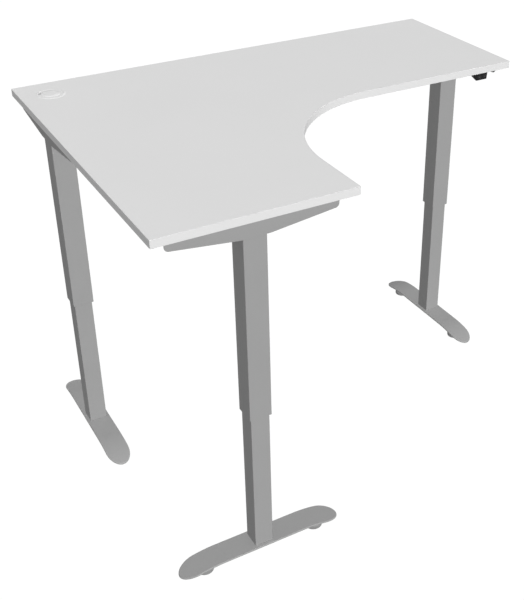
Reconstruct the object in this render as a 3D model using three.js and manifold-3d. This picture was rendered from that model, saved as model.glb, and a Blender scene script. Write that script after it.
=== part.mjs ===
// Height adjustable corner desk: an L-shaped top on three motorised telescopic legs.
// Millimetres, +Z up, +X to the user's right, -Y towards the user.
// The origin is on the floor under the middle of the desktop's overall rectangle.
import * as THREE from "three";
import { mergeVertices } from "three/addons/utils/BufferGeometryUtils.js";
import Module from "manifold-3d";

const wasm = await Module();
wasm.setup();

// ---- driving dimensions ----
const GAP = 0.3;
const DESK_HEIGHT = 1202;
const DESK_WIDTH = 1600;
const DESK_DEPTH = 1200;
const WING_DEPTH = 600;
const INNER_RADIUS = 400;
const TOP_THICKNESS = 24;
const BAND_THICKNESS = 2;
const CORNER_RADIUS = 3;

const LIFT_STROKE = 485;
const OUTER_TUBE = 70;
const INNER_TUBE = 60;
const TUBE_WALL = 2;
const TUBE_CORNER = 2;
const FRAME_INSET = 20;
const FRONT_LEG_OFFSET = -6;
const LEFT_LEG_OFFSET = -3;

const BRACKET_WIDTH = 76;
const BRACKET_SHEET = 2.5;
const BRACKET_LENGTH = 502;
const BRACKET_DEPTH = 54;
const BRACKET_END_DEPTH = 30;
const BRACKET_FLAT = 90;
const BRACKET_END_RADIUS = 11;

const FOOT_LENGTH = 552;
const FOOT_WIDTH = 82;
const FOOT_TOP = 38;
const FOOT_PLATE = 5.5;
const FOOT_END_LENGTH = 62;
const FOOT_FLAT = 270;
const FOOT_DROP = 25;
const FOOT_CURVE_POWER = 2.1;
const GLIDE_SPACING = 384;
const GLIDE_RADIUS = 29;
const GLIDE_HEIGHT = 16;
const GLIDE_STEM_RADIUS = 5;

const GROMMET_X = -701;
const GROMMET_Y = 489;
const GROMMET_HOLE_RADIUS = 43;
const GROMMET_FLANGE_RADIUS = 47;
const SLEEVE_DEPTH = 23;
const SLEEVE_BORE_RADIUS = 40;
const LID_POCKET_RADIUS = 41.4;
const FLANGE_RISE = 1.2;
const LID_BOSS_RADIUS = 30;
const LID_RISE = 3.2;
const LID_NOTCH_ANGLE = (150 * Math.PI) / 180;

const RAIL_WIDTH = 50;
const RAIL_HEIGHT = 30;
const RAIL_WALL = 2;

// ---- levels and places that follow from them ----
const UNDERSIDE = DESK_HEIGHT - TOP_THICKNESS;
const BACK = DESK_DEPTH / 2;
const RIGHT = DESK_WIDTH / 2;
const WING_FRONT = BACK - WING_DEPTH;
const WING_RIGHT = WING_DEPTH - RIGHT;
const HALF_BRACKET = BRACKET_WIDTH / 2;
const RIGHT_LEG_X = RIGHT - FRAME_INSET - HALF_BRACKET;
const LEFT_LEG_X = LEFT_LEG_OFFSET - RIGHT_LEG_X;
const SIDE_LEG_Y = BACK - WING_DEPTH / 2;
const FRONT_LEG_X = WING_DEPTH / 2 - RIGHT + FRONT_LEG_OFFSET;
const FRONT_LEG_Y = FRAME_INSET + HALF_BRACKET - BACK;
const WEB_BOTTOM = UNDERSIDE - GAP - BRACKET_SHEET;
const HOUSING_BOTTOM = UNDERSIDE - 46;
const OUTER_TUBE_BOTTOM = FOOT_TOP + LIFT_STROKE + 9;
const NUT_TOP = HOUSING_BOTTOM - LIFT_STROKE - 6;
const NUT_HEIGHT = 22;
const RAIL_CENTRE_Z = UNDERSIDE - 4 - RAIL_HEIGHT / 2;

const white = { color: 0xdedede, roughness: 0.55, metalness: 0 };
const greyPaint = { color: 0x9f9f9f, roughness: 0.5, metalness: 0.2 };
const darkPlastic = { color: 0x1c1c1e, roughness: 0.5, metalness: 0 };
const nylon = { color: 0x3a3a3c, roughness: 0.6, metalness: 0 };
const brightSteel = { color: 0xb4b4b2, roughness: 0.35, metalness: 0.9 };
const bronze = { color: 0xa8834a, roughness: 0.45, metalness: 0.8 };
const boardGreen = { color: 0x1f5a38, roughness: 0.5, metalness: 0 };

// ---- small modelling helpers ----
function solidOf(geometry) {
  const bare = geometry.clone();
  bare.deleteAttribute("normal");
  bare.deleteAttribute("uv");
  const welded = mergeVertices(bare, 1e-4);
  const mesh = new wasm.Mesh({
    numProp: 3,
    vertProperties: new Float32Array(welded.attributes.position.array),
    triVerts: new Uint32Array(welded.index.array),
  });
  return new wasm.Manifold(mesh);
}

function geometryOf(solid) {
  const mesh = solid.getMesh();
  const geometry = new THREE.BufferGeometry();
  geometry.setAttribute("position", new THREE.BufferAttribute(mesh.vertProperties, 3));
  geometry.setIndex(new THREE.BufferAttribute(mesh.triVerts, 1));
  return geometry;
}

function cut(geometry, ...tools) {
  const solid = tools.reduce((rest, tool) => rest.subtract(solidOf(tool)), solidOf(geometry));
  return geometryOf(solid);
}

function join(...geometries) {
  return geometryOf(geometries.map(solidOf).reduce((sum, next) => sum.add(next)));
}

function common(first, second) {
  return geometryOf(solidOf(first).intersect(solidOf(second)));
}

function add(group, name, geometry, finish) {
  const mesh = new THREE.Mesh(geometry, new THREE.MeshStandardMaterial(finish));
  mesh.name = name;
  group.add(mesh);
  return mesh;
}

function block(sizeX, sizeY, bottom, top, x = 0, y = 0) {
  const box = new THREE.BoxGeometry(sizeX, sizeY, top - bottom);
  return box.translate(x, y, (top + bottom) / 2);
}

function arcPoints(x, y, radius, from, to, steps) {
  const points = [];
  for (let i = 0; i <= steps; i += 1) {
    const angle = from + ((to - from) * i) / steps;
    points.push(new THREE.Vector2(x + radius * Math.cos(angle), y + radius * Math.sin(angle)));
  }
  return points;
}

function roundedRectangle(sizeX, sizeY, radius, steps = 3) {
  const x = sizeX / 2 - radius;
  const y = sizeY / 2 - radius;
  const quarter = Math.PI / 2;
  return [
    ...arcPoints(x, y, radius, 0, quarter, steps),
    ...arcPoints(-x, y, radius, quarter, 2 * quarter, steps),
    ...arcPoints(-x, -y, radius, 2 * quarter, 3 * quarter, steps),
    ...arcPoints(x, -y, radius, 3 * quarter, 4 * quarter, steps),
  ];
}

function prism(outline, bottom, top, holes = []) {
  const shape = new THREE.Shape(outline);
  for (const hole of holes) shape.holes.push(new THREE.Path(hole));
  const geometry = new THREE.ExtrudeGeometry(shape, { depth: top - bottom, bevelEnabled: false });
  return geometry.translate(0, 0, bottom);
}

// A profile drawn in X and Z, stretched across Y.
function acrossY(profile, width, y = 0) {
  return prism(profile, -width / 2, width / 2).rotateX(Math.PI / 2).translate(0, y, 0);
}

function squareTube(size, wall, bottom, top) {
  const outside = roundedRectangle(size, size, TUBE_CORNER);
  const inside = roundedRectangle(size - 2 * wall, size - 2 * wall, TUBE_CORNER - wall / 2);
  return prism(outside, bottom, top, [inside]);
}

function turned(profile, segments) {
  const points = profile.map(([radius, z]) => new THREE.Vector2(radius, z));
  return new THREE.LatheGeometry(points, segments).rotateX(Math.PI / 2);
}

function rod(radius, bottom, top, segments = 20, x = 0, y = 0) {
  const profile = [[0, bottom], [radius, bottom], [radius, top], [0, top]];
  return turned(profile, segments).translate(x, y, 0);
}

// ---- desktop ----
// The L-shaped outline, moved inwards by inset. The inner corner is one wide arc.
function deskOutline(inset) {
  const left = inset - RIGHT;
  const right = RIGHT - inset;
  const back = BACK - inset;
  const front = inset - BACK;
  const wingFront = WING_FRONT + inset;
  const wingRight = WING_RIGHT - inset;
  const r = Math.max(CORNER_RADIUS - inset, 0.5);
  const quarter = Math.PI / 2;
  const bayX = WING_RIGHT + INNER_RADIUS;
  const bayY = WING_FRONT - INNER_RADIUS;
  return [
    ...arcPoints(right - r, back - r, r, 0, quarter, 3),
    ...arcPoints(left + r, back - r, r, quarter, 2 * quarter, 3),
    ...arcPoints(left + r, front + r, r, 2 * quarter, 3 * quarter, 3),
    ...arcPoints(wingRight - r, front + r, r, 3 * quarter, 4 * quarter, 3),
    ...arcPoints(bayX, bayY, INNER_RADIUS + inset, 2 * quarter, quarter, 32),
    ...arcPoints(right - r, wingFront + r, r, 3 * quarter, 4 * quarter, 3),
  ];
}

function addDesktop(desk) {
  const hole = arcPoints(GROMMET_X, GROMMET_Y, GROMMET_HOLE_RADIUS, 0, 2 * Math.PI, 32).slice(1);
  const core = prism(deskOutline(BAND_THICKNESS + GAP), UNDERSIDE, DESK_HEIGHT, [hole]);
  add(desk, "desktop", core, white);
  const band = prism(deskOutline(0), UNDERSIDE, DESK_HEIGHT, [deskOutline(BAND_THICKNESS)]);
  add(desk, "edge_band", band, white);
}

// ---- cable grommet: a fixed ring and a lid that turns in it ----
function addGrommet(desk) {
  const grommet = new THREE.Group();
  grommet.position.set(GROMMET_X, GROMMET_Y, DESK_HEIGHT);
  desk.add(grommet);
  const sleeve = GROMMET_HOLE_RADIUS - GAP;
  const ring = turned(
    [
      [SLEEVE_BORE_RADIUS, -SLEEVE_DEPTH],
      [sleeve, -SLEEVE_DEPTH],
      [sleeve, GAP],
      [GROMMET_FLANGE_RADIUS, GAP],
      [GROMMET_FLANGE_RADIUS, FLANGE_RISE - 0.6],
      [GROMMET_FLANGE_RADIUS - 1, FLANGE_RISE],
      [LID_POCKET_RADIUS, FLANGE_RISE],
      [LID_POCKET_RADIUS, -0.8],
      [SLEEVE_BORE_RADIUS, -0.8],
      [SLEEVE_BORE_RADIUS, -SLEEVE_DEPTH],
    ],
    40,
  );
  add(grommet, "grommet_ring", ring, white);
  const disc = turned(
    [
      [0, -0.5],
      [LID_POCKET_RADIUS - GAP, -0.5],
      [LID_POCKET_RADIUS - GAP, FLANGE_RISE - 0.2],
      [LID_BOSS_RADIUS, FLANGE_RISE - 0.2],
      [LID_BOSS_RADIUS, LID_RISE - 1.2],
      [LID_BOSS_RADIUS - 1.2, LID_RISE],
      [0, LID_RISE],
    ],
    40,
  );
  const notchDepth = LID_POCKET_RADIUS + 3 - LID_BOSS_RADIUS;
  const notch = block(notchDepth, 24, -5, 10, LID_BOSS_RADIUS + 0.5 + notchDepth / 2);
  notch.rotateZ(LID_NOTCH_ANGLE);
  add(grommet, "grommet_lid", cut(disc, notch), white);
}

// ---- one leg, drawn about its own column with the foot along X ----
function bracketGeometry() {
  const half = BRACKET_LENGTH / 2;
  const flat = BRACKET_FLAT / 2;
  const top = UNDERSIDE - GAP;
  const r = BRACKET_END_RADIUS;
  const endBottom = top - BRACKET_END_DEPTH;
  const profile = [
    new THREE.Vector2(half, top),
    new THREE.Vector2(-half, top),
    ...arcPoints(-half + r, endBottom + r, r, Math.PI, 1.5 * Math.PI - 0.1, 3),
    new THREE.Vector2(-flat, top - BRACKET_DEPTH),
    new THREE.Vector2(flat, top - BRACKET_DEPTH),
    ...arcPoints(half - r, endBottom + r, r, 1.5 * Math.PI + 0.1, 2 * Math.PI, 3),
  ];
  const inside = block(
    BRACKET_LENGTH + 20,
    BRACKET_WIDTH - 2 * BRACKET_SHEET,
    WEB_BOTTOM - 2 * BRACKET_DEPTH,
    WEB_BOTTOM,
  );
  return cut(acrossY(profile, BRACKET_WIDTH), inside);
}

function gearHousingGeometry() {
  const outer = block(78, 69, HOUSING_BOTTOM + GAP, WEB_BOTTOM - GAP);
  const inner = block(70, 61, HOUSING_BOTTOM + 5, WEB_BOTTOM + 5);
  const spindleHole = rod(6.5, HOUSING_BOTTOM - 5, HOUSING_BOTTOM + 10, 16);
  const motorHole = rod(9, 30, 50, 16).rotateY(Math.PI / 2).translate(0, 0, HOUSING_BOTTOM + 22);
  return cut(outer, inner, spindleHole, motorHole);
}

// The motor lies along the bracket. Its nose and pinion reach into the gear housing.
function motorGeometry() {
  const body = turned(
    [
      [0, 6],
      [5, 6],
      [5, 26],
      [8.6, 26],
      [8.6, 39.5],
      [19, 39.5],
      [19, 44],
      [18, 46],
      [18, 118],
      [16, 120],
      [0, 120],
    ],
    20,
  );
  return body.rotateY(Math.PI / 2).translate(0, 0, HOUSING_BOTTOM + 22);
}

function spindleGeometry() {
  const bottom = NUT_TOP - NUT_HEIGHT - 20;
  const top = HOUSING_BOTTOM + 14.5;
  return turned(
    [
      [0, bottom],
      [4.5, bottom],
      [6, bottom + 2],
      [6, top - 8.4],
      [5, top - 8],
      [5, top],
      [0, top],
    ],
    16,
  );
}

function driveWheelGeometry() {
  return turned(
    [
      [5 + GAP, HOUSING_BOTTOM + 6.8],
      [24, HOUSING_BOTTOM + 6.8],
      [24, HOUSING_BOTTOM + 12],
      [14, HOUSING_BOTTOM + 14.5],
      [5 + GAP, HOUSING_BOTTOM + 14.5],
      [5 + GAP, HOUSING_BOTTOM + 6.8],
    ],
    24,
  );
}

function spindleNutGeometry() {
  const size = OUTER_TUBE - 2 * TUBE_WALL - 0.8;
  const hole = arcPoints(0, 0, 6.4, 0, 2 * Math.PI, 16).slice(1);
  return prism(roundedRectangle(size, size, 2), NUT_TOP - NUT_HEIGHT, NUT_TOP, [hole]);
}

function guideBushGeometry() {
  const size = OUTER_TUBE - 2 * TUBE_WALL - 0.6;
  const bore = INNER_TUBE + 0.6;
  const inside = roundedRectangle(bore, bore, TUBE_CORNER + 0.3);
  return prism(roundedRectangle(size, size, 2), OUTER_TUBE_BOTTOM + 1, OUTER_TUBE_BOTTOM + 60, [inside]);
}

function basePlateGeometry() {
  const size = INNER_TUBE - 2 * TUBE_WALL - 0.6;
  const holes = [-16, 16].map((x) => arcPoints(x, 0, 4, 0, 2 * Math.PI, 12).slice(1));
  return prism(roundedRectangle(size, size, 1.5), FOOT_TOP + GAP, FOOT_TOP + 8, holes);
}

// Height of the foot's upper surface at a distance from the column: level, then falling away.
function footHeight(distance) {
  const past = Math.max(0, distance - FOOT_FLAT / 2) / (FOOT_LENGTH / 2 - FOOT_FLAT / 2);
  return FOOT_TOP - FOOT_DROP * past ** FOOT_CURVE_POWER;
}

function footGeometry() {
  const half = FOOT_LENGTH / 2;
  const stations = [-half - 1];
  for (let i = 8; i >= 0; i -= 1) stations.push(-FOOT_FLAT / 2 - ((half - FOOT_FLAT / 2) * i) / 8);
  for (let i = 0; i <= 8; i += 1) stations.push(FOOT_FLAT / 2 + ((half - FOOT_FLAT / 2) * i) / 8);
  stations.push(half + 1);
  const upper = stations.map((x) => new THREE.Vector2(x, footHeight(Math.abs(x))));
  const lower = stations.map((x) => new THREE.Vector2(x, footHeight(Math.abs(x)) - FOOT_PLATE));
  const arch = acrossY([...upper, ...lower.reverse()], FOOT_WIDTH + 10);
  const straight = half - FOOT_END_LENGTH;
  const plan = [];
  for (let i = 0; i <= 16; i += 1) {
    const angle = -Math.PI / 2 + (Math.PI * i) / 16;
    const x = straight + FOOT_END_LENGTH * Math.cos(angle);
    plan.push(new THREE.Vector2(x, (FOOT_WIDTH / 2) * Math.sin(angle)));
  }
  const plate = common(arch, prism([...plan, ...plan.map((p) => p.clone().negate())], -10, 60));
  const ribBottom = FOOT_TOP - 16;
  const ribs = [-14, 14].map((y) => block(300, 5, ribBottom, FOOT_TOP - FOOT_PLATE / 2, 0, y));
  const bosses = [-1, 1].map((side) => rod(12, GLIDE_HEIGHT + 2, 30, 16, (side * GLIDE_SPACING) / 2));
  const boreRadius = GLIDE_STEM_RADIUS + 0.4;
  const bores = [-1, 1].map((side) => rod(boreRadius, 0, 31, 16, (side * GLIDE_SPACING) / 2));
  return cut(join(plate, ...ribs, ...bosses), ...bores);
}

function glideGeometry() {
  return turned(
    [
      [0, 0],
      [GLIDE_RADIUS - 1.5, 0],
      [GLIDE_RADIUS, 1.5],
      [GLIDE_RADIUS, GLIDE_HEIGHT - 2],
      [GLIDE_RADIUS - 2, GLIDE_HEIGHT],
      [GLIDE_STEM_RADIUS, GLIDE_HEIGHT],
      [GLIDE_STEM_RADIUS, 30],
      [0, 30],
    ],
    24,
  );
}

function addLeg(desk, leg) {
  const group = new THREE.Group();
  group.position.set(leg.x, leg.y, 0);
  group.rotation.z = leg.turn;
  desk.add(group);
  const piece = (name, geometry, finish) => add(group, `${name}_${leg.name}`, geometry, finish);
  piece("bracket", bracketGeometry(), greyPaint);
  piece("gear_housing", gearHousingGeometry(), darkPlastic);
  piece("motor", motorGeometry(), brightSteel);
  piece("outer_tube", squareTube(OUTER_TUBE, TUBE_WALL, OUTER_TUBE_BOTTOM, HOUSING_BOTTOM), greyPaint);
  piece("guide_bush", guideBushGeometry(), nylon);
  piece("spindle", spindleGeometry(), brightSteel);
  piece("drive_wheel", driveWheelGeometry(), bronze);
  piece("spindle_nut", spindleNutGeometry(), nylon);
  const innerTop = NUT_TOP - NUT_HEIGHT - GAP;
  piece("inner_tube", squareTube(INNER_TUBE, TUBE_WALL, FOOT_TOP + GAP, innerTop), greyPaint);
  piece("base_plate", basePlateGeometry(), brightSteel);
  piece("foot", footGeometry(), greyPaint);
  for (const side of [-1, 1]) {
    const glide = glideGeometry().translate((side * GLIDE_SPACING) / 2, 0, 0);
    piece(`glide_${side < 0 ? leg.ends[0] : leg.ends[1]}`, glide, greyPaint);
  }
}

// ---- rails that tie the three brackets together ----
// A hollow box rail along X between two ends.
function rail(from, to, width, height) {
  const outside = roundedRectangle(width, height, 3, 2);
  const inside = roundedRectangle(width - 2 * RAIL_WALL, height - 2 * RAIL_WALL, 1.5, 1);
  const tube = prism(outside, 0, to - from, [inside]);
  return tube.rotateX(Math.PI / 2).rotateZ(Math.PI / 2).translate(from, 0, RAIL_CENTRE_Z);
}

// A narrower rail that slides into the first, with a plate on the end that bolts on.
function railArm(plateEnd, innerEnd) {
  const play = RAIL_WALL * 2 + 0.8;
  const tube = rail(
    Math.min(plateEnd, innerEnd),
    Math.max(plateEnd, innerEnd),
    RAIL_WIDTH - play,
    RAIL_HEIGHT - play,
  );
  const inwards = Math.sign(innerEnd - plateEnd);
  const plate = block(4, 84, RAIL_CENTRE_Z - 17, RAIL_CENTRE_Z + 17, plateEnd + inwards * 2);
  return join(tube, plate);
}

function addRails(desk) {
  const rearRail = new THREE.Group();
  rearRail.position.set(0, SIDE_LEG_Y, 0);
  desk.add(rearRail);
  const leftEnd = LEFT_LEG_X + HALF_BRACKET + GAP;
  const rightEnd = RIGHT_LEG_X - HALF_BRACKET - GAP;
  add(rearRail, "rear_rail", rail(-570, 450, RAIL_WIDTH, RAIL_HEIGHT), greyPaint);
  add(rearRail, "rear_rail_arm_left", railArm(leftEnd, -440), greyPaint);
  add(rearRail, "rear_rail_arm_right", railArm(rightEnd, 300), greyPaint);

  const sideRail = new THREE.Group();
  sideRail.position.set(FRONT_LEG_X, 0, 0);
  sideRail.rotation.z = Math.PI / 2;
  desk.add(sideRail);
  const rearEnd = SIDE_LEG_Y - RAIL_WIDTH / 2 - GAP;
  const frontEnd = FRONT_LEG_Y + HALF_BRACKET + GAP;
  add(sideRail, "side_rail", rail(-360, 140, RAIL_WIDTH, RAIL_HEIGHT), greyPaint);
  add(sideRail, "side_rail_arm_rear", railArm(rearEnd, 20), greyPaint);
  add(sideRail, "side_rail_arm_front", railArm(frontEnd, -230), greyPaint);
}

// ---- control box under the desktop ----
function addControlBox(desk) {
  const length = 260;
  const depth = 110;
  const wall = 2.5;
  const top = UNDERSIDE - GAP;
  const bottom = top - 36;
  const box = new THREE.Group();
  box.position.set(80, 175, 0);
  desk.add(box);
  const shell = prism(roundedRectangle(length, depth, 6), bottom, top);
  const hollow = prism(roundedRectangle(length - 2 * wall, depth - 2 * wall, 4), bottom - 5, top - wall);
  const ears = [-1, 1].map((side) => block(30, 30, top - 3, top, side * (length / 2 + 8)));
  const earHoles = [-1, 1].map((side) => rod(2.5, top - 10, top + 10, 12, side * (length / 2 + 14)));
  const inletWindow = block(30, 20, bottom + 8, bottom + 28, 90, depth / 2);
  const socketWindow = block(80, 20, bottom + 8, bottom + 22, -40, depth / 2);
  const tools = [hollow, ...earHoles, inletWindow, socketWindow];
  add(box, "control_box_case", cut(join(shell, ...ears), ...tools), darkPlastic);
  const cover = prism(roundedRectangle(length, depth, 6), bottom - GAP - 3, bottom - GAP);
  add(box, "control_box_cover", cover, darkPlastic);
  add(box, "control_board", block(230, 84, bottom + 3, bottom + 4.6, 0, -6), boardGreen);
  const inlet = block(29, 16, bottom + 8.5, bottom + 27.5, 90, depth / 2 - 8);
  const inletMouth = block(20, 12, bottom + 13, bottom + 23, 90, depth / 2);
  add(box, "power_inlet", cut(inlet, inletMouth), nylon);
  const strip = block(79, 12, bottom + 8.5, bottom + 21.5, -40, depth / 2 - 6);
  const mouths = [-68, -40, -12].map((x) => block(18, 9, bottom + 11, bottom + 19, x, depth / 2));
  add(box, "motor_socket_strip", cut(strip, ...mouths), nylon);
}

// ---- handset with an up button and a down button ----
function addHandset(desk) {
  const width = 50;
  const top = UNDERSIDE - GAP;
  const frontY = WING_FRONT + 2;
  const bottom = top - 24;
  const handset = new THREE.Group();
  handset.position.set(680, 0, 0);
  desk.add(handset);
  const wedge = (grow) => {
    const outline = [
      new THREE.Vector2(frontY + grow, bottom + grow),
      new THREE.Vector2(frontY + 4 + grow, bottom - 0.5 + grow),
      new THREE.Vector2(frontY + 45 - grow, bottom + 15 + grow),
      new THREE.Vector2(frontY + 45 - grow, top + (grow > 0 ? 5 : 0)),
      new THREE.Vector2(frontY + grow, top + (grow > 0 ? 5 : 0)),
    ];
    const half = width / 2 - grow;
    return prism(outline, -half, half).rotateX(Math.PI / 2).rotateZ(Math.PI / 2);
  };
  const buttonCentres = { button_up: -11, button_down: 11 };
  const buttonZ = bottom + 11.5;
  const buttonOutline = (grow) => roundedRectangle(16 + grow, 11 + grow, 2.5 + grow / 2);
  const upright = (outline, from, to, x) =>
    prism(outline, -to, -from).rotateX(Math.PI / 2).translate(x, 0, buttonZ);
  const windows = Object.values(buttonCentres).map((x) =>
    upright(buttonOutline(0.8), frontY - 3, frontY + 5, x),
  );
  add(handset, "handset_case", cut(wedge(0), wedge(2), ...windows), darkPlastic);
  for (const [name, x] of Object.entries(buttonCentres)) {
    add(handset, name, upright(buttonOutline(0), frontY - 1.4, frontY + 7, x), nylon);
  }
  add(handset, "handset_board", block(42, 30, top - 4.6, top - 3, 0, frontY + 24), boardGreen);
}

const desk = new THREE.Group();
addDesktop(desk);
addGrommet(desk);
const sideTurn = Math.PI / 2;
addLeg(desk, { name: "left", x: LEFT_LEG_X, y: SIDE_LEG_Y, turn: sideTurn, ends: ["near", "far"] });
addLeg(desk, { name: "right", x: RIGHT_LEG_X, y: SIDE_LEG_Y, turn: sideTurn, ends: ["near", "far"] });
addLeg(desk, { name: "front", x: FRONT_LEG_X, y: FRONT_LEG_Y, turn: 0, ends: ["outer", "inner"] });
addRails(desk);
addControlBox(desk);
addHandset(desk);

export default desk;
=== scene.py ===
import math

import bmesh
import bpy
from mathutils import Matrix, Vector


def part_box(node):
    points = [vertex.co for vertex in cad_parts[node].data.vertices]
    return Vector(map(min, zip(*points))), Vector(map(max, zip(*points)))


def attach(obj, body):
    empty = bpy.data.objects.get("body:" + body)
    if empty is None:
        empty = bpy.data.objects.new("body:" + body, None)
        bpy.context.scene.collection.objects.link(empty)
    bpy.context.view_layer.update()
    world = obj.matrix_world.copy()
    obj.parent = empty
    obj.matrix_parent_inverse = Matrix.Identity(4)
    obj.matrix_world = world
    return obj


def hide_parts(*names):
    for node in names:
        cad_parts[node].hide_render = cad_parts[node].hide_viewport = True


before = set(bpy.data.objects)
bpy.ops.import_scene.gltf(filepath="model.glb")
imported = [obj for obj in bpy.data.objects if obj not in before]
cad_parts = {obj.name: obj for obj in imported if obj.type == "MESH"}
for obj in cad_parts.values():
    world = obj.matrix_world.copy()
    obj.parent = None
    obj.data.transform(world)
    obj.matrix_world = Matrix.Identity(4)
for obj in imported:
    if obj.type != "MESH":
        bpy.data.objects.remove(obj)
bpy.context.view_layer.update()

# ---------------------------------------------------------------- driving sizes, in metres
LEGS = ("left", "right", "front")
DESK_LOW, DESK_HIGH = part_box("edge_band")
TOP_Z = DESK_HIGH.z
UNDERSIDE_Z = DESK_LOW.z
WING_DEPTH = 0.600
INNER_RADIUS = 0.400
CORNER_RADIUS = 0.003
BAND = 0.002
SHEET = 0.0025
TUBE_WALL = 0.002
DOWN = (0, 0, -1)


def leg_frame(leg):
    """Turns points drawn about one leg's column, with the foot along X, into the row frame."""
    low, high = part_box(f"outer_tube_{leg}")
    centre = (low + high) / 2
    turn = Matrix.Identity(4) if leg == "front" else Matrix.Rotation(math.pi / 2, 4, "Z")
    return Matrix.Translation((centre.x, centre.y, 0)) @ turn


# ---------------------------------------------------------------- materials
class Shader:
    """A small helper that strings nodes together for one material."""

    def __init__(self, name, color, roughness, metallic=0.0):
        self.material = bpy.data.materials.new(name)
        self.material.use_nodes = True
        self.material.diffuse_color = (*color, 1)
        self.tree = self.material.node_tree
        self.bsdf = self.tree.nodes["Principled BSDF"]
        self.bsdf.inputs["Base Color"].default_value = (*color, 1)
        self.bsdf.inputs["Roughness"].default_value = roughness
        self.bsdf.inputs["Metallic"].default_value = metallic
        self.color = color
        self.coordinates = self.node("ShaderNodeTexCoord").outputs["Object"]

    def node(self, kind, **values):
        made = self.tree.nodes.new(kind)
        for key, value in values.items():
            setattr(made, key, value)
        return made

    def link(self, source, target):
        self.tree.links.new(source, target)

    def noise(self, scale, detail=3.0, roughness=0.5, stretch=(1, 1, 1)):
        mapping = self.node("ShaderNodeMapping")
        mapping.inputs["Scale"].default_value = stretch
        self.link(self.coordinates, mapping.inputs["Vector"])
        made = self.node("ShaderNodeTexNoise")
        made.inputs["Scale"].default_value = scale
        made.inputs["Detail"].default_value = detail
        made.inputs["Roughness"].default_value = roughness
        self.link(mapping.outputs["Vector"], made.inputs["Vector"])
        return made.outputs["Fac"]

    def speckle(self, scale):
        made = self.node("ShaderNodeTexVoronoi")
        made.inputs["Scale"].default_value = scale
        self.link(self.coordinates, made.inputs["Vector"])
        return made.outputs["Distance"]

    def between(self, value, low, high):
        made = self.node("ShaderNodeMapRange")
        made.inputs["From Min"].default_value = 0.25
        made.inputs["From Max"].default_value = 0.75
        made.inputs["To Min"].default_value = low
        made.inputs["To Max"].default_value = high
        self.link(value, made.inputs["Value"])
        return made.outputs["Result"]

    def tint(self, value, low, high):
        """Colour from low to high times the base colour as value goes from 0.25 to 0.75."""
        ramp = self.node("ShaderNodeValToRGB")
        ends = ramp.color_ramp.elements
        ends[0].position, ends[1].position = 0.25, 0.75
        ends[0].color = (*[c * low for c in self.color], 1)
        ends[1].color = (*[min(1.0, c * high) for c in self.color], 1)
        self.link(value, ramp.inputs["Fac"])
        return ramp.outputs["Color"]

    def mix(self, factor, first, second):
        made = self.node("ShaderNodeMix", data_type="RGBA")
        made.inputs["Factor"].default_value = factor
        self.link(first, made.inputs["A"])
        self.link(second, made.inputs["B"])
        return made.outputs["Result"]

    def finish(self, color=None, roughness=None, heights=()):
        """heights holds (value, strength, distance) for stacked bumps."""
        if color is not None:
            self.link(color, self.bsdf.inputs["Base Color"])
        if roughness is not None:
            self.link(roughness, self.bsdf.inputs["Roughness"])
        normal = None
        for value, strength, distance in heights:
            bump = self.node("ShaderNodeBump")
            bump.inputs["Strength"].default_value = strength
            bump.inputs["Distance"].default_value = distance
            self.link(value, bump.inputs["Height"])
            if normal is not None:
                self.link(normal, bump.inputs["Normal"])
            normal = bump.outputs["Normal"]
        if normal is not None:
            self.link(normal, self.bsdf.inputs["Normal"])
        return self.material


WHITE = (0.700, 0.700, 0.700)
EDGE_WHITE = (0.684, 0.684, 0.684)
GREY = (0.302, 0.302, 0.302)


def make_laminate():
    s = Shader("white_laminate", WHITE, 0.5)
    s.bsdf.inputs["Specular IOR Level"].default_value = 0.25
    cloud = s.noise(3.5, 4.0)
    pearl = s.noise(1400.0, 2.0)
    color = s.mix(0.5, s.tint(cloud, 0.985, 1.012), s.tint(pearl, 0.985, 1.015))
    return s.finish(color, s.between(pearl, 0.46, 0.54), [(pearl, 0.25, 0.00006)])


def make_edge_plastic():
    s = Shader("white_edge_plastic", EDGE_WHITE, 0.42)
    s.bsdf.inputs["Specular IOR Level"].default_value = 0.3
    drag = s.noise(260.0, 3.0, stretch=(1, 1, 6))
    fine = s.noise(2200.0, 2.0)
    return s.finish(s.tint(drag, 0.985, 1.01), s.between(drag, 0.38, 0.46), [(fine, 0.2, 0.00004)])


def make_cap_plastic():
    """White above the worktop, with painted shade darkening the colour down the sleeve."""
    s = Shader("white_cap_plastic", WHITE, 0.5)
    s.bsdf.inputs["Specular IOR Level"].default_value = 0.25
    cloud = s.noise(40.0, 3.0)
    fine = s.noise(1900.0, 3.0)
    height = s.node("ShaderNodeSeparateXYZ")
    s.link(s.coordinates, height.inputs["Vector"])
    # painted shade: the colour is scaled down to 0.62 below the worktop, standing in for the shade
    # inside the notch and sleeve
    shade = s.node("ShaderNodeMapRange")
    shade.inputs["From Min"].default_value = TOP_Z - 0.0030
    shade.inputs["From Max"].default_value = TOP_Z - 0.0004
    shade.inputs["To Min"].default_value = 0.62
    s.link(height.outputs["Z"], shade.inputs["Value"])
    color = s.node("ShaderNodeVectorMath", operation="SCALE")
    s.link(s.tint(cloud, 0.99, 1.005), color.inputs[0])
    s.link(shade.outputs["Result"], color.inputs["Scale"])
    return s.finish(color.outputs["Vector"], s.between(fine, 0.46, 0.56), [(fine, 0.25, 0.00005)])


def make_powder_coat():
    s = Shader("grey_powder_coat", GREY, 0.48, 0.0)
    s.bsdf.inputs["Specular IOR Level"].default_value = 0.35
    cloud = s.noise(9.0, 5.0)
    peel = s.noise(520.0, 2.0)
    grain = s.speckle(1500.0)
    color = s.mix(0.4, s.tint(cloud, 0.975, 1.02), s.tint(grain, 0.93, 1.05))
    bumps = [(peel, 0.35, 0.00018), (grain, 0.25, 0.00006)]
    return s.finish(color, s.between(peel, 0.43, 0.54), bumps)


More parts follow.
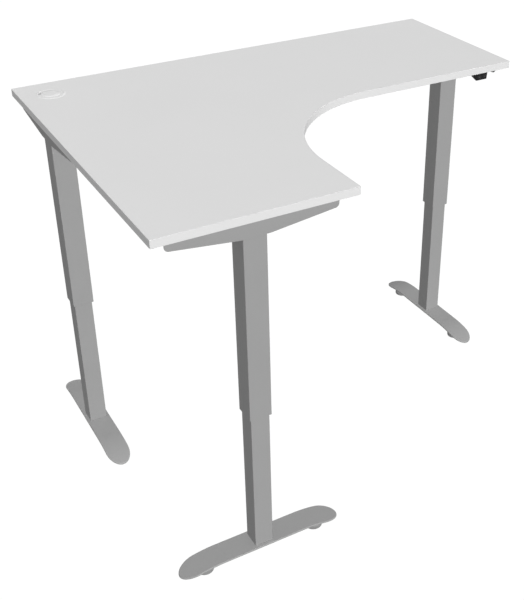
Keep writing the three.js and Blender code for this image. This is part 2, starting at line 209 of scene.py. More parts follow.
def make_grey_plastic():
    s = Shader("grey_plastic", tuple(c * 0.86 for c in GREY), 0.55)
    s.bsdf.inputs["Specular IOR Level"].default_value = 0.3
    fine = s.noise(1800.0, 3.0)
    scuff = s.noise(60.0, 6.0)
    return s.finish(s.tint(scuff, 0.93, 1.05), s.between(fine, 0.5, 0.62), [(fine, 0.35, 0.00007)])


def make_black_plastic():
    s = Shader("black_plastic", (0.010, 0.010, 0.0105), 0.5)
    s.bsdf.inputs["Specular IOR Level"].default_value = 0.3
    spark = s.noise(1500.0, 3.0, 0.6)
    cloud = s.noise(25.0, 4.0)
    return s.finish(s.tint(cloud, 0.8, 1.25), s.between(spark, 0.4, 0.56), [(spark, 0.5, 0.00009)])


def make_nylon():
    s = Shader("dark_nylon", (0.018, 0.018, 0.019), 0.5)
    s.bsdf.inputs["Specular IOR Level"].default_value = 0.3
    fine = s.noise(900.0, 3.0)
    return s.finish(s.tint(fine, 0.85, 1.15), s.between(fine, 0.42, 0.55), [(fine, 0.3, 0.00006)])


def make_zinc():
    s = Shader("zinc_plate", (0.56, 0.57, 0.58), 0.34, 1.0)
    spangle = s.speckle(420.0)
    brushed = s.noise(240.0, 4.0, stretch=(1, 1, 14))
    color = s.mix(0.5, s.tint(spangle, 0.88, 1.08), s.tint(brushed, 0.92, 1.05))
    return s.finish(color, s.between(brushed, 0.26, 0.44), [(brushed, 0.2, 0.00005)])


def make_bronze():
    s = Shader("machined_bronze", (0.46, 0.28, 0.11), 0.35, 1.0)
    rings = s.noise(500.0, 3.0, stretch=(1, 1, 0.1))
    return s.finish(s.tint(rings, 0.85, 1.1), s.between(rings, 0.28, 0.42), [(rings, 0.2, 0.00005)])


def make_board():
    s = Shader("solder_mask", (0.020, 0.110, 0.045), 0.35)
    tracks = s.speckle(160.0)
    return s.finish(s.tint(tracks, 0.7, 1.3), s.between(tracks, 0.28, 0.4), [(tracks, 0.3, 0.00008)])


def make_print():
    s = Shader("arrow_print", (0.060, 0.060, 0.062), 0.5)
    fine = s.noise(1500.0, 2.0)
    return s.finish(s.tint(fine, 0.94, 1.04), s.between(fine, 0.5, 0.6), [(fine, 0.2, 0.00004)])


LAMINATE = make_laminate()
EDGE_PLASTIC = make_edge_plastic()
CAP_PLASTIC = make_cap_plastic()
POWDER = make_powder_coat()
GREY_PLASTIC = make_grey_plastic()
BLACK = make_black_plastic()
NYLON = make_nylon()
ZINC = make_zinc()
BRONZE = make_bronze()
BOARD = make_board()
PRINT = make_print()


# ---------------------------------------------------------------- mesh helpers
def arc(x, y, radius, start, end, steps):
    """Points of an arc, angles in degrees."""
    angles = [math.radians(start + (end - start) * i / steps) for i in range(steps + 1)]
    return [(x + radius * math.cos(a), y + radius * math.sin(a)) for a in angles]


def circle(x, y, radius, steps):
    return arc(x, y, radius, 0, 360, steps)[:-1]


def quarter_turn(steps):
    return [math.pi / 2 * i / steps for i in range(steps + 1)]


def rounded_rectangle(size_x, size_y, radius, steps=6):
    radius = max(radius, 0.0001)
    x, y = size_x / 2 - radius, size_y / 2 - radius
    corners = ((x, y, 0), (-x, y, 90), (-x, -y, 180), (x, -y, 270))
    return [p for cx, cy, a in corners for p in arc(cx, cy, radius, a, a + 90, steps)]


def bridge(bm, first, second):
    """Quads between two loops of as many vertices."""
    count = len(first)
    for i in range(count):
        j = (i + 1) % count
        bm.faces.new((first[i], first[j], second[j], second[i]))


def loop_of(bm, points, z=None):
    return [bm.verts.new((*p, z) if z is not None else p) for p in points]


def fill(bm, *loops):
    """A flat cap over an outline and its holes."""
    edges = []
    for loop in loops:
        for a, b in zip(loop, loop[1:] + loop[:1]):
            edges.append(bm.edges.get((a, b)) or bm.edges.new((a, b)))
    bmesh.ops.triangle_fill(bm, use_beauty=True, use_dissolve=False, edges=edges)


def settle(bm, sharp_angle):
    """Consistent normals, smooth faces, and sharp edges where the surface really turns."""
    bmesh.ops.recalc_face_normals(bm, faces=bm.faces)
    limit = math.radians(sharp_angle)
    for face in bm.faces:
        face.smooth = True
    for edge in bm.edges:
        edge.smooth = len(edge.link_faces) == 2 and edge.calc_face_angle(0) < limit


pieces = []


def piece(name, bm, material, body, place=None, sharp_angle=35, replaces=()):
    """Makes the mesh object, in the row frame, and tells the frame what it rides on."""
    settle(bm, sharp_angle)
    mesh = bpy.data.meshes.new(name)
    bm.to_mesh(mesh)
    bm.free()
    if place is not None:
        mesh.transform(place)
    made = bpy.data.objects.new(name, mesh)
    bpy.context.scene.collection.objects.link(made)
    mesh.materials.append(material)
    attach(made, body)
    if replaces:
        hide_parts(*replaces)
    pieces.append(made)
    return made


def evaluated_mesh(made):
    """The object's mesh with its modifiers carried out."""
    bpy.context.view_layer.update()
    evaluated = made.evaluated_get(bpy.context.evaluated_depsgraph_get())
    return bpy.data.meshes.new_from_object(evaluated)


def swap_mesh(made, mesh):
    made.modifiers.clear()
    old = made.data
    made.data = mesh
    bpy.data.meshes.remove(old)


def weigh_normals(made):
    """Lets the large faces set the shading, so that flat panels stay flat beside round rims."""
    modifier = made.modifiers.new("weighted_normals", "WEIGHTED_NORMAL")
    modifier.mode = "FACE_AREA"
    modifier.keep_sharp = True
    swap_mesh(made, evaluated_mesh(made))


def swept_ring(bm, outline, profile):
    """A closed ring: outline(inset) at each (inset, z) of a closed profile."""
    loops = [loop_of(bm, outline(inset), z) for inset, z in profile]
    for first, second in zip(loops, loops[1:] + loops[:1]):
        bridge(bm, first, second)
    return loops


def swept_solid(bm, outline, profile):
    """A closed solid: outline(inset) at each (inset, z), capped at both ends."""
    loops = [loop_of(bm, outline(inset), z) for inset, z in profile]
    for first, second in zip(loops, loops[1:]):
        bridge(bm, first, second)
    fill(bm, loops[0])
    fill(bm, loops[-1])
    return loops


def turned(bm, profile, segments, place=None, ripple=None):
    """A solid of revolution from (radius, z) points whose ends are on the axis."""
    rings, poles = [], []
    for radius, z in profile:
        if radius < 1e-7:
            poles.append(bm.verts.new((0, 0, z)))
            rings.append([poles[-1]])
            continue
        ring = []
        for i in range(segments):
            angle = 2 * math.pi * i / segments
            r = radius + (ripple(angle, radius, z) if ripple else 0)
            ring.append(bm.verts.new((r * math.cos(angle), r * math.sin(angle), z)))
        rings.append(ring)
    for first, second in zip(rings, rings[1:]):
        if len(first) == 1 or len(second) == 1:
            pole, ring = (first[0], second) if len(first) == 1 else (second[0], first)
            for i in range(segments):
                bm.faces.new((pole, ring[i], ring[(i + 1) % segments]))
        else:
            bridge(bm, first, second)
    if place is not None:
        made = {v for ring in rings for v in ring}
        bmesh.ops.transform(bm, matrix=place, verts=list(made))


def rounded_profile(radius, low, high, edge, steps=4):
    """(radius, z) of a turned block with rounded rims."""
    lower = [(radius - edge + edge * math.sin(a), low + edge - edge * math.cos(a))
             for a in (math.pi / 2 * i / steps for i in range(steps + 1))]
    upper = [(r, low + high - z) for r, z in reversed(lower)]
    return [(0, low), *lower, *upper, (0, high)]


def edge_insets(edge, low, high, steps=4):
    """(inset, z) up the side of a block whose upper and lower rims are rounded."""
    angles = [math.pi / 2 * i / steps for i in range(steps + 1)]
    lower = [(edge - edge * math.sin(a), low + edge - edge * math.cos(a)) for a in angles]
    return lower + [(inset, low + high - z) for inset, z in reversed(lower)]


def boolean(target, tool_bm, name, operation="DIFFERENCE"):
    """Cuts the tool from a piece that is already in place, and keeps the result as its mesh."""
    bmesh.ops.recalc_face_normals(tool_bm, faces=tool_bm.faces)
    mesh = bpy.data.meshes.new(name)
    tool_bm.to_mesh(mesh)
    tool_bm.free()
    tool = bpy.data.objects.new(name, mesh)
    bpy.context.scene.collection.objects.link(tool)
    modifier = target.modifiers.new("cut", "BOOLEAN")
    modifier.operation = operation
    modifier.solver = "EXACT"
    modifier.object = tool
    result = evaluated_mesh(target)
    swap_mesh(target, result)
    bpy.data.objects.remove(tool)
    bm = bmesh.new()
    bm.from_mesh(result)
    settle(bm, 35)
    bm.to_mesh(result)
    bm.free()


def box_into(bm, low, high):
    made = bmesh.ops.create_cube(bm, size=1)["verts"]
    size = Vector(high) - Vector(low)
    middle = (Vector(high) + Vector(low)) / 2
    bmesh.ops.transform(bm, matrix=Matrix.Translation(middle) @ Matrix.Diagonal((*size, 1)), verts=made)
    return made


# ---------------------------------------------------------------- desktop
def desk_outline(inset):
    left, right = DESK_LOW.x + inset, DESK_HIGH.x - inset
    front, back = DESK_LOW.y + inset, DESK_HIGH.y - inset
    wing_front = DESK_HIGH.y - WING_DEPTH + inset
    wing_right = DESK_LOW.x + WING_DEPTH - inset
    r = max(CORNER_RADIUS - inset, 0.0006)
    bay_x = DESK_LOW.x + WING_DEPTH + INNER_RADIUS
    bay_y = DESK_HIGH.y - WING_DEPTH - INNER_RADIUS
    return (
        arc(right - r, back - r, r, 0, 90, 6)
        + arc(left + r, back - r, r, 90, 180, 6)
        + arc(left + r, front + r, r, 180, 270, 6)
        + arc(wing_right - r, front + r, r, 270, 360, 6)
        + arc(bay_x, bay_y, INNER_RADIUS + inset, 180, 90, 96)
        + arc(right - r, wing_front + r, r, 270, 360, 6)
    )


def grommet_centre():
    low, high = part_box("grommet_ring")
    return (low.x + high.x) / 2, (low.y + high.y) / 2


def make_desktop():
    gx, gy = grommet_centre()
    hole_radius = 0.043
    seam = 0.00035
    bm = bmesh.new()
    inset = BAND + 0.00005
    profile = [
        (inset + seam, UNDERSIDE_Z),
        (inset, UNDERSIDE_Z + seam),
        (inset, TOP_Z - seam),
        (inset + seam, TOP_Z),
    ]
    loops = [loop_of(bm, desk_outline(i), z) for i, z in profile]
    for first, second in zip(loops, loops[1:]):
        bridge(bm, first, second)
    hole = circle(gx, gy, hole_radius, 96)
    hole_low, hole_high = loop_of(bm, hole, UNDERSIDE_Z), loop_of(bm, hole, TOP_Z)
    bridge(bm, hole_low, hole_high)
    fill(bm, loops[0], hole_low)
    fill(bm, loops[-1], hole_high)
    piece("worktop", bm, LAMINATE, "top", replaces=["desktop"])

    bm = bmesh.new()
    rim = edge_insets(0.0004, UNDERSIDE_Z, TOP_Z)
    inner = [(BAND, TOP_Z), (BAND, UNDERSIDE_Z)]
    swept_ring(bm, desk_outline, [*rim, *inner])
    piece("edge_trim", bm, EDGE_PLASTIC, "top", replaces=["edge_band"])


def make_grommet():
    gx, gy = grommet_centre()
    place = Matrix.Translation((gx, gy, TOP_Z))
    outer, sleeve, bore, pocket, rim = 0.0470, 0.0427, 0.0400, 0.0414, 0.0411
    ring = [
        (bore, -0.023),
        (sleeve, -0.023),
        (sleeve, 0.0003),
        (outer - 0.0003, 0.0003),
        (outer, 0.0004),
        (outer, 0.0006),
        (outer - 0.0020, 0.0011),
        (outer - 0.0026, 0.0012),
        (pocket + 0.0002, 0.0012),
        (pocket, 0.0010),
        (pocket, -0.0008),
        (bore, -0.0008),
    ]
    bm = bmesh.new()
    swept_ring(bm, lambda radius: circle(0, 0, radius, 96), ring)
    piece("grommet_collar", bm, CAP_PLASTIC, "top", place, 40, ["grommet_ring"])

    boss = 0.0300
    lid = [
        (0, -0.0005),
        (rim - 0.0003, -0.0005),
        (rim, -0.0002),
        (rim, 0.0008),
        (rim - 0.0002, 0.0010),
        (boss + 0.0002, 0.0010),
        (boss, 0.0012),
        (boss, 0.0015),
        (boss - 0.0003, 0.0018),
        (boss - 0.0010, 0.0019),
        (0.0222, 0.0030),
        (0.0213, 0.0031),
        (0.0206, 0.0031),
        (0, 0.0031),
    ]
    bm = bmesh.new()
    turned(bm, lid, 96)
    cap = piece("grommet_cap", bm, CAP_PLASTIC, "grommet_lid", place, 40, ["grommet_lid"])
    tool = bmesh.new()
    swept_solid(tool, lambda _: rounded_rectangle(0.0165, 0.024, 0.003), [(0, -0.01), (0, 0.01)])
    notch = Matrix.Rotation(math.radians(150), 4, "Z") @ Matrix.Translation((boss + 0.00875, 0, 0))
    bmesh.ops.transform(tool, matrix=place @ notch, verts=tool.verts)
    boolean(cap, tool, "grommet_notch")


# ---------------------------------------------------------------- legs
BRACKET_HALF = 0.251
BRACKET_FLAT = 0.045
BRACKET_DEPTH = 0.054
BRACKET_END_DEPTH = 0.030
BRACKET_END_RADIUS = 0.011
TUBE_CORNER = 0.002


def bracket_depth(distance):
    run = max(0.0, distance - BRACKET_FLAT) / (BRACKET_HALF - BRACKET_FLAT)
    depth = BRACKET_DEPTH - (BRACKET_DEPTH - BRACKET_END_DEPTH) * run
    past = distance - (BRACKET_HALF - BRACKET_END_RADIUS)
    if past > 0:
        depth -= BRACKET_END_RADIUS - math.sqrt(max(BRACKET_END_RADIUS**2 - past**2, 0))
    return depth


def make_bracket(leg, place):
    """A folded sheet channel: a web under the top and two flanges that are deepest at the column."""
    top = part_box(f"bracket_{leg}")[1].z
    half_width, fold, nick = 0.038, 0.0045, 0.0004
    corner = BRACKET_HALF - BRACKET_END_RADIUS
    ends = [corner + BRACKET_END_RADIUS * math.sin(a) for a in quarter_turn(8)]
    stations = [0.0, 0.02, 0.043, 0.045, 0.047, 0.1, 0.15, 0.2, *ends]
    stations = [-s for s in reversed(stations[1:])] + stations
    bm = bmesh.new()
    loops = []
    for x in stations:
        bottom = top - bracket_depth(abs(x))
        outer = [(-half_width + nick, bottom), (-half_width, bottom + nick)]
        outer += [(p[0], p[1]) for p in arc(-half_width + fold, top - fold, fold, 180, 90, 6)]
        outer += [(p[0], p[1]) for p in arc(half_width - fold, top - fold, fold, 90, 0, 6)]
        outer += [(half_width, bottom + nick), (half_width - nick, bottom)]
        iw, ir = half_width - SHEET, fold - SHEET
        inner = [(iw + nick, bottom), (iw, bottom + nick)]
        inner += arc(iw - ir, top - SHEET - ir, ir, 0, 90, 4)
        inner += arc(-iw + ir, top - SHEET - ir, ir, 90, 180, 4)
        inner += [(-iw, bottom + nick), (-iw - nick, bottom)]
        loops.append([bm.verts.new((x, y, z)) for y, z in outer + inner])
    for first, second in zip(loops, loops[1:]):
        bridge(bm, first, second)
    fill(bm, loops[0])
    fill(bm, loops[-1])
    piece(f"channel_{leg}", bm, POWDER, "top", place, 30, [f"bracket_{leg}"])


def make_tube(node, size, body, place):
    low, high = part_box(node)
    wall, nick = TUBE_WALL, 0.0005

    def outline(inset):
        side = size - 2 * inset
        return rounded_rectangle(side, side, TUBE_CORNER - inset / 2, 8)

    profile = [
        (nick, low.z),
        (0, low.z + nick),
        (0, high.z - nick),
        (nick, high.z),
        (wall - nick, high.z),
        (wall, high.z - nick),
        (wall, low.z + nick),
        (wall - nick, low.z),
    ]
    bm = bmesh.new()
    swept_ring(bm, outline, profile)
    piece(f"column_{node}", bm, POWDER, body, place, 30, [node])


FOOT_HALF = 0.276
FOOT_WIDTH = 0.082
FOOT_END = 0.062
FOOT_FLAT_HALF = 0.135
FOOT_DROP = 0.025
FOOT_POWER = 2.1
FOOT_PLATE = 0.0055
GLIDE_OFFSET = 0.192


def foot_height(top, distance):
    past = max(0.0, distance - FOOT_FLAT_HALF) / (FOOT_HALF - FOOT_FLAT_HALF)
    return top - FOOT_DROP * past**FOOT_POWER


def foot_plan(inset, ends=28, sides=44):
    """The foot's outline, symmetrical about X, from its +X tip round to the -X tip and back."""
    straight, reach = FOOT_HALF - FOOT_END, FOOT_END - inset
    half_width = FOOT_WIDTH / 2 - inset
    upper = []
    for i in range(ends + 1):
        a = math.pi / 2 * i / ends
        upper.append((straight + reach * math.cos(a), half_width * math.sin(a)))
    for i in range(1, sides):
        upper.append((straight - 2 * straight * i / sides, half_width))
    for i in range(ends + 1):
        a = math.pi / 2 * (1 + i / ends)
        upper.append((-straight + reach * math.cos(a), half_width * math.sin(a)))
    lower = [(x, -y) for x, y in reversed(upper[1:-1])]
    return upper + lower


def span_across(bm, loop):
    """Fills a loop that is symmetrical about X with strips running straight across it."""
    count = len(loop)
    for i in range(count // 2):
        quad = [loop[i], loop[i + 1], loop[(count - i - 1) % count], loop[(count - i) % count]]
        unique = list(dict.fromkeys(quad))
        bm.faces.new(unique)


def make_foot(leg, place):
    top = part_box(f"foot_{leg}")[1].z
    edge, under = 0.0022, 0.0012
    upper = [(edge - edge * math.sin(a), edge * math.cos(a) - edge) for a in quarter_turn(5)]
    lower = [(under - under * math.cos(a), under - under * math.sin(a)) for a in quarter_turn(3)]
    bm = bmesh.new()
    loops = []
    for inset, drop in upper + [(inset, rise - FOOT_PLATE) for inset, rise in lower]:
        points = [(x, y, foot_height(top, abs(x)) + drop) for x, y in foot_plan(inset)]
        loops.append(loop_of(bm, points))
    for first, second in zip(loops, loops[1:]):
        bridge(bm, first, second)
    span_across(bm, loops[0])
    span_across(bm, loops[-1])
    for y in (-0.014, 0.014):
        box_into(bm, (-0.150, y - 0.0025, top - 0.016), (0.150, y + 0.0025, top - FOOT_PLATE + 0.0002))
    boss_top = foot_height(top, GLIDE_OFFSET) - FOOT_PLATE + 0.001
    boss = rounded_profile(0.012, 0.018, boss_top, 0.0012)
    for side in (-1, 1):
        turned(bm, boss, 40, Matrix.Translation((side * GLIDE_OFFSET, 0, 0)))
    name, body = f"arched_foot_{leg}", f"base_{leg}"
    piece(name, bm, POWDER, body, place, 40, [f"foot_{leg}"])


def make_glide(node):
    low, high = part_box(node)
    place = Matrix.Translation(((low.x + high.x) / 2, (low.y + high.y) / 2, 0))
    radius, pad, stem, height = 0.029, 0.016, 0.005, 0.030
    profile = [
        (0, 0),
        (radius - 0.0022, 0),
        (radius - 0.0008, 0.0006),
        (radius, 0.0022),
        (radius, pad - 0.0045),
        (radius - 0.0006, pad - 0.0028),
        (radius - 0.0022, pad - 0.0012),
        (radius - 0.006, pad),
        (0.0095, pad),
        (0.0095, pad + 0.0016),
        (stem, pad + 0.0016),
        (stem, height - 0.0005),
        (stem - 0.0005, height),
        (0, height),
    ]

    def grip(angle, r, _):
        return -0.0004 * (1 + math.cos(36 * angle)) if r > radius - 0.0001 else 0

    bm = bmesh.new()
    turned(bm, profile, 144, ripple=grip)
    piece(f"pad_{node}", bm, GREY_PLASTIC, node, place, 40, [node])


# ---------------------------------------------------------------- drive units
def make_motor(leg, place):
    low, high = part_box(f"motor_{leg}")
    z = (low.z + high.z) / 2
    along = place @ Matrix.Translation((0, 0, z)) @ Matrix.Rotation(math.pi / 2, 4, "Y")
    can = [
        (0, 0.0395),
        (0.0185, 0.0395),
        (0.0190, 0.0400),
        (0.0190, 0.0438),
        (0.0185, 0.0442),
        (0.0180, 0.0446),
        (0.0180, 0.1040),
        (0.0176, 0.1046),
        (0.0176, 0.1062),
        (0.0180, 0.1068),
        (0.0180, 0.1160),
        (0.0176, 0.1180),
        (0.0164, 0.1196),
        (0.0150, 0.1200),
        (0.0070, 0.1200),
        (0.0066, 0.1192),
        (0, 0.1192),
    ]
    bm = bmesh.new()
    turned(bm, can, 64)
    piece(f"motor_can_{leg}", bm, ZINC, "top", along, 30, [f"motor_{leg}"])

    def teeth(angle, radius, _):
        return 0.0004 * math.cos(8 * angle) if radius > 0.004 else 0

    nose = [(0, 0.026), (0.0086, 0.026), (0.0086, 0.0397), (0, 0.0397)]
    pinion = [(0, 0.006), (0.0045, 0.006), (0.005, 0.0065), (0.005, 0.0262), (0, 0.0262)]
    bm = bmesh.new()
    turned(bm, nose, 48)
    turned(bm, pinion, 32, ripple=teeth)
    piece(f"motor_nose_{leg}", bm, ZINC, "top", along, 30)


# ---------------------------------------------------------------- screws
def socket_screw(bm, place, radius=0.005, height=0.003):
    """A low round head with a hexagonal socket, its axis along local +Z, its seat at z 0."""
    steps, hexagon = 36, radius * 0.5

    def hex_point(angle, size):
        a = (angle + math.pi / 6) % (math.pi / 3) - math.pi / 6
        r = size * math.cos(math.pi / 6) / math.cos(a)
        return r * math.cos(angle), r * math.sin(angle)

    angles = [2 * math.pi * i / steps for i in range(steps)]
    rings = []
    profile = [
        (radius * 0.98, 0),
        (radius, 0.0003),
        (radius, height * 0.45),
        (radius * 0.86, height * 0.86),
        (radius * 0.66, height),
    ]
    for r, z in profile:
        rings.append([bm.verts.new((r * math.cos(a), r * math.sin(a), z)) for a in angles])
    rings.append([bm.verts.new((*hex_point(a, hexagon), height)) for a in angles])
    rings.append([bm.verts.new((*hex_point(a, hexagon), height * 0.35)) for a in angles])
    for first, second in zip(rings, rings[1:]):
        bridge(bm, first, second)
    bm.faces.new(rings[0])
    bm.faces.new(rings[-1])
    bmesh.ops.transform(bm, matrix=place, verts=[v for ring in rings for v in ring])


def facing(point, axis):
    """A place whose +Z is the axis."""
    return Matrix.Translation(point) @ Vector(axis).to_track_quat("Z", "Y").to_matrix().to_4x4()


def make_leg_screws(leg, place):
    bm = bmesh.new()
    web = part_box(f"bracket_{leg}")[1].z - SHEET
    for x in (-0.225, -0.150, 0.150, 0.225):
        for y in (-0.020, 0.020):
            socket_screw(bm, facing((x, y, web), DOWN), 0.0045, 0.0028)
    piece(f"bracket_screws_{leg}", bm, ZINC, "top", place, 30)
    bm = bmesh.new()
    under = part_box(f"foot_{leg}")[1].z - FOOT_PLATE
    for x in (-0.030, 0.030):
        socket_screw(bm, facing((x, 0, under), DOWN), 0.0065, 0.0045)
    piece(f"foot_screws_{leg}", bm, ZINC, f"base_{leg}", place, 30)


# ---------------------------------------------------------------- control box
def make_control_box():
    low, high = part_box("control_box_case")
    cover_low, cover_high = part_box("control_box_cover")
    middle = (cover_low + cover_high) / 2
    length, depth = cover_high.x - cover_low.x, cover_high.y - cover_low.y
    place = Matrix.Translation((middle.x, middle.y, 0))

    def outline(inset):
        return rounded_rectangle(length - 2 * inset, depth - 2 * inset, 0.006 - inset, 8)

    wall = 0.0025
    bm = bmesh.new()
    profile = [
        (wall, low.z),
        (0.0004, low.z),
        (0, low.z + 0.0004),
        (0, high.z - 0.003),
        (0.0009, high.z - 0.0009),
        (0.003, high.z),
    ]
    loops = [loop_of(bm, outline(inset), z) for inset, z in profile]
    inner = [loop_of(bm, outline(wall), low.z + 0.0001), loop_of(bm, outline(wall), high.z - wall)]
    for first, second in zip(loops, loops[1:]):
        bridge(bm, first, second)
    bridge(bm, loops[0], inner[0])
    bridge(bm, inner[0], inner[1])
    fill(bm, loops[-1])
    fill(bm, inner[1])
    case = piece("control_case", bm, BLACK, "top", place, 35, ["control_box_case"])

    tool = bmesh.new()
    for node in ("power_inlet", "motor_socket_strip"):
        a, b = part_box(node)
        grow = 0.0004
        back = middle.y + depth / 2
        window_low = (a.x - grow, back - 0.006, a.z - grow)
        window_high = (b.x + grow, back + 0.010, b.z + grow)
        box_into(tool, window_low, window_high)
    front = middle.y - depth / 2
    for i in range(9):
        x = middle.x - 0.060 + i * 0.012
        slot_low = (x, front - 0.010, low.z + 0.010)
        slot_high = (x + 0.004, front + 0.006, low.z + 0.024)
        box_into(tool, slot_low, slot_high)
    boolean(case, tool, "control_windows")

    ears = bmesh.new()
    for side in (-1, 1):
        reach = length / 2 - 0.004 if side > 0 else -length / 2 - 0.023
        made = rounded_rectangle(0.027, 0.030, 0.006, 6)
        offset = Matrix.Translation((reach + 0.0135, 0, 0))
        loops = [loop_of(ears, made, high.z - 0.003), loop_of(ears, made, high.z)]
        bridge(ears, loops[0], loops[1])
        fill(ears, loops[0])
        fill(ears, loops[1])
        bmesh.ops.transform(ears, matrix=offset, verts=loops[0] + loops[1])
    piece("control_ears", ears, BLACK, "top", place)

    bm = bmesh.new()
    swept_solid(bm, outline, edge_insets(0.0008, cover_low.z, cover_high.z, 3))
    piece("control_cover", bm, BLACK, "top", place, 35, ["control_box_cover"])

    bm = bmesh.new()
    for side in (-1, 1):
        ear = (side * (length / 2 + 0.0135), 0, high.z - 0.003)
        socket_screw(bm, facing(ear, DOWN), 0.0042, 0.0026)
        for y in (-0.045, 0.045):
            corner = (side * (length / 2 - 0.010), y, cover_low.z)
            socket_screw(bm, facing(corner, DOWN), 0.0028, 0.0006)
    piece("control_screws", bm, ZINC, "top", place, 30)


# ---------------------------------------------------------------- handset
def upright_loop(bm, points, x, y, z):
    """A loop in the plane that faces the user, about (x, y, z)."""
    return [bm.verts.new((x + px, y, z + pz)) for px, pz in points]


def make_handset():
    low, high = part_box("handset_case")
    middle = (low.x + high.x) / 2
    half = (high.x - low.x) / 2
    draft = 0.0025
    side = [
        (low.y, high.z),
        (low.y, low.z + 0.0005),
        (low.y + 0.004, low.z),
        (high.y, low.z + 0.0155),
        (high.y, high.z),
    ]
    bm = bmesh.new()
    loops = []
    for sign in (-1, 1):
        loop = []
        for y, z in side:
            narrow = draft * (high.z - z) / (high.z - low.z)
            loop.append(bm.verts.new((middle + sign * (half - narrow), y, z)))
        loops.append(loop)
    bridge(bm, loops[0], loops[1])
    bm.faces.new(loops[0])
    bm.faces.new(loops[1])
    bmesh.ops.recalc_face_normals(bm, faces=bm.faces)
    rims = [e for e in bm.edges if not all(abs(v.co.z - high.z) < 1e-6 for v in e.verts)]
    bmesh.ops.bevel(bm, geom=rims, offset=0.0018, segments=4, profile=0.5, affect="EDGES")
    case = piece("handset_shell", bm, BLACK, "top", None, 30, ["handset_case"])
    tool = bmesh.new()
    for node in ("button_up", "button_down"):
        a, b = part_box(node)
        x, z = (a.x + b.x) / 2, (a.z + b.z) / 2
        outline = rounded_rectangle(0.0168, 0.0118, 0.0029, 6)
        loops = [upright_loop(tool, outline, x, y, z) for y in (low.y - 0.003, low.y + 0.006)]
        bridge(tool, loops[0], loops[1])
        fill(tool, loops[0])
        fill(tool, loops[1])
    boolean(case, tool, "button_windows")
    for node, up in (("button_up", 1), ("button_down", -1)):
        a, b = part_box(node)
        x, z = (a.x + b.x) / 2, (a.z + b.z) / 2
        bm = bmesh.new()
        loops = []
        profile = [
            (0.0016, a.y),
            (0.0007, a.y + 0.0002),
            (0.0002, a.y + 0.0006),
            (0, a.y + 0.0012),
            (0, b.y),
        ]
        for inset, y in profile:
            outline = rounded_rectangle(0.016 - 2 * inset, 0.011 - 2 * inset, 0.0025 - inset, 6)
            loops.append(upright_loop(bm, outline, x, y, z))
        for first, second in zip(loops, loops[1:]):
            bridge(bm, first, second)
        fill(bm, loops[0])
        fill(bm, loops[-1])
        piece(f"key_{node}", bm, NYLON, node, None, 35, [node])
        bm = bmesh.new()
        tip = [(-0.0026, -0.0015 * up), (0.0026, -0.0015 * up), (0, 0.0022 * up)]
        arrow = [upright_loop(bm, tip, x, y, z) for y in (a.y - 0.00012, a.y + 0.0003)]
        bridge(bm, arrow[0], arrow[1])
        bm.faces.new(arrow[0])
        bm.faces.new(arrow[1])
        piece(f"arrow_{node}", bm, PRINT, node, None, 30)


# ---------------------------------------------------------------- rails' screws
def make_rail_screws():
    plate, spread = 0.004, 0.035
    arm_screw = {"radius": 0.005, "height": 0.004}
    rail_screw = {"radius": 0.0048, "height": 0.003}
    near, far = 0.03, 0.09
    bm = bmesh.new()
    for node, side in (("rear_rail_arm_left", -1), ("rear_rail_arm_right", 1)):
        low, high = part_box(node)
        y, z = (low.y + high.y) / 2, (low.z + high.z) / 2
        face = low.x + plate if side < 0 else high.x - plate
        for offset in (-spread, spread):
            socket_screw(bm, facing((face, y + offset, z), (-side, 0, 0)), **arm_screw)
    for node, towards in (("side_rail_arm_rear", -1), ("side_rail_arm_front", 1)):
        low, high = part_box(node)
        x, z = (low.x + high.x) / 2, (low.z + high.z) / 2
        face = high.y - plate if towards < 0 else low.y + plate
        for offset in (-spread, spread):
            socket_screw(bm, facing((x + offset, face, z), (0, towards, 0)), **arm_screw)
    low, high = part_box("rear_rail")
    for x in (low.x + near, low.x + far, high.x - far, high.x - near):
        place = facing((x, (low.y + high.y) / 2, low.z), DOWN)
        socket_screw(bm, place, **rail_screw)
    low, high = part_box("side_rail")
    for y in (low.y + near, low.y + far, high.y - far, high.y - near):
        place = facing(((low.x + high.x) / 2, y, low.z), DOWN)
        socket_screw(bm, place, **rail_screw)
    piece("rail_screws", bm, ZINC, "top", None, 30)


# ---------------------------------------------------------------- CAD nodes that stay
def dress(node, material):
    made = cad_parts[node]
    made.data.materials.clear()
    made.data.materials.append(material)
    for polygon in made.data.polygons:
        polygon.use_smooth = False


def dress_cad_nodes():
    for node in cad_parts:
        if node.startswith(("rear_rail", "side_rail")):
            dress(node, POWDER)
    for leg in LEGS:
        dress(f"gear_housing_{leg}", BLACK)
        dress(f"guide_bush_{leg}", NYLON)
        dress(f"spindle_nut_{leg}", NYLON)
        dress(f"spindle_{leg}", ZINC)
        dress(f"drive_wheel_{leg}", BRONZE)
        dress(f"base_plate_{leg}", ZINC)
    for node in ("power_inlet", "motor_socket_strip"):
        dress(node, NYLON)
    for node in ("control_board", "handset_board"):
        dress(node, BOARD)


# ---------------------------------------------------------------- build the desk
make_desktop()
make_grommet()
for leg_name in LEGS:
    leg_place = leg_frame(leg_name)
    make_bracket(leg_name, leg_place)
    make_tube(f"outer_tube_{leg_name}", 0.070, "top", leg_place)
    make_tube(f"inner_tube_{leg_name}", 0.060, f"base_{leg_name}", leg_place)
    make_foot(leg_name, leg_place)
    make_motor(leg_name, leg_place)
    make_leg_screws(leg_name, leg_place)
for glide in [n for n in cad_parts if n.startswith("glide_")]:
    make_glide(glide)
make_rail_screws()
make_control_box()
make_handset()
for made_piece in pieces:
    weigh_normals(made_piece)
dress_cad_nodes()


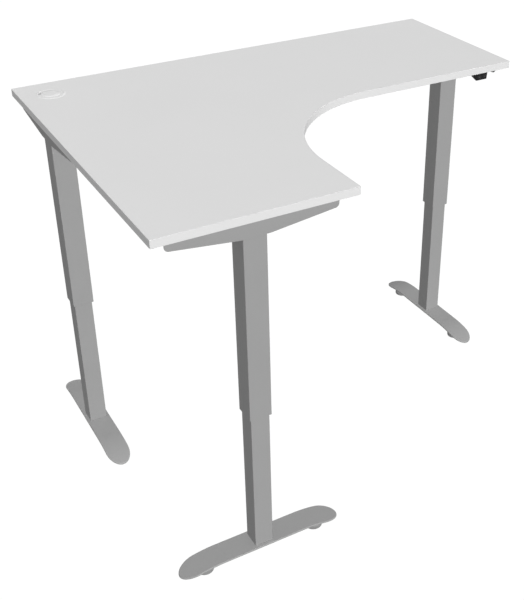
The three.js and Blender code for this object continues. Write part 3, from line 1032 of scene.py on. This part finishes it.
# ---------------------------------------------------------------- stage, light and camera
def make_stage():
    bm = bmesh.new()
    bmesh.ops.create_grid(bm, x_segments=1, y_segments=1, size=20)
    mesh = bpy.data.meshes.new("floor")
    bm.to_mesh(mesh)
    bm.free()
    floor = bpy.data.objects.new("floor", mesh)
    bpy.context.scene.collection.objects.link(floor)
    material = bpy.data.materials.new("floor_white")
    material.use_nodes = True
    bsdf = material.node_tree.nodes["Principled BSDF"]
    bsdf.inputs["Base Color"].default_value = (0.10, 0.10, 0.10, 1)
    bsdf.inputs["Roughness"].default_value = 1.0
    bsdf.inputs["Specular IOR Level"].default_value = 0.0
    bsdf.inputs["Emission Color"].default_value = (1, 1, 1, 1)
    bsdf.inputs["Emission Strength"].default_value = 0.92
    mesh.materials.append(material)
    floor.visible_diffuse = False
    floor.visible_glossy = False


def sun(name, travel, strength, spread):
    """A wide soft light without shadows, shining along travel."""
    data = bpy.data.lights.new(name, "SUN")
    data.energy = strength
    data.angle = math.radians(spread)
    data.use_shadow = False
    data.specular_factor = 0.3
    made = bpy.data.objects.new(name, data)
    made.rotation_mode = "QUATERNION"
    made.rotation_quaternion = Vector(travel).to_track_quat("-Z", "Y")
    bpy.context.scene.collection.objects.link(made)


def make_light():
    world = bpy.data.worlds.new("studio")
    world.use_nodes = True
    background = world.node_tree.nodes["Background"]
    background.inputs["Color"].default_value = (1, 1, 1, 1)
    background.inputs["Strength"].default_value = 0.30
    bpy.context.scene.world = world
    sun("key", (0, 0.764, -0.645), 3.44, 20)
    sun("fill_left", (1, 0, 0), 0.36, 30)
    sun("fill_right", (-1, 0, 0), 0.40, 30)
    sun("fill_back", (0, -1, 0), 0.35, 30)
    sun("fill_below", (0, 0, 1), 0.45, 30)


def make_camera():
    """The photo's own view, solved from its edges: the lens in photo pixels, the place in metres."""
    width, height = 524, 600
    focal, centre_x, centre_y = 1006.4, 312.48, 264.20
    forward = Vector((0.43273, 0.75016, -0.50001))
    right = Vector((0.86620, -0.49969, -0.00004))
    data = bpy.data.cameras.new("camera")
    data.sensor_width = 36.0
    data.lens = focal / height * data.sensor_width
    data.shift_x = (width / 2 - centre_x) / height
    data.shift_y = (centre_y - height / 2) / height
    made = bpy.data.objects.new("camera", data)
    made.location = (-1.5161, -2.6225, 2.3554)
    made.rotation_mode = "QUATERNION"
    rotation = Matrix((right, right.cross(forward), -forward)).transposed()
    made.rotation_quaternion = rotation.to_quaternion()
    bpy.context.scene.collection.objects.link(made)
    bpy.context.scene.camera = made


make_stage()
make_light()
make_camera()
bpy.context.scene.view_settings.view_transform = "Standard"
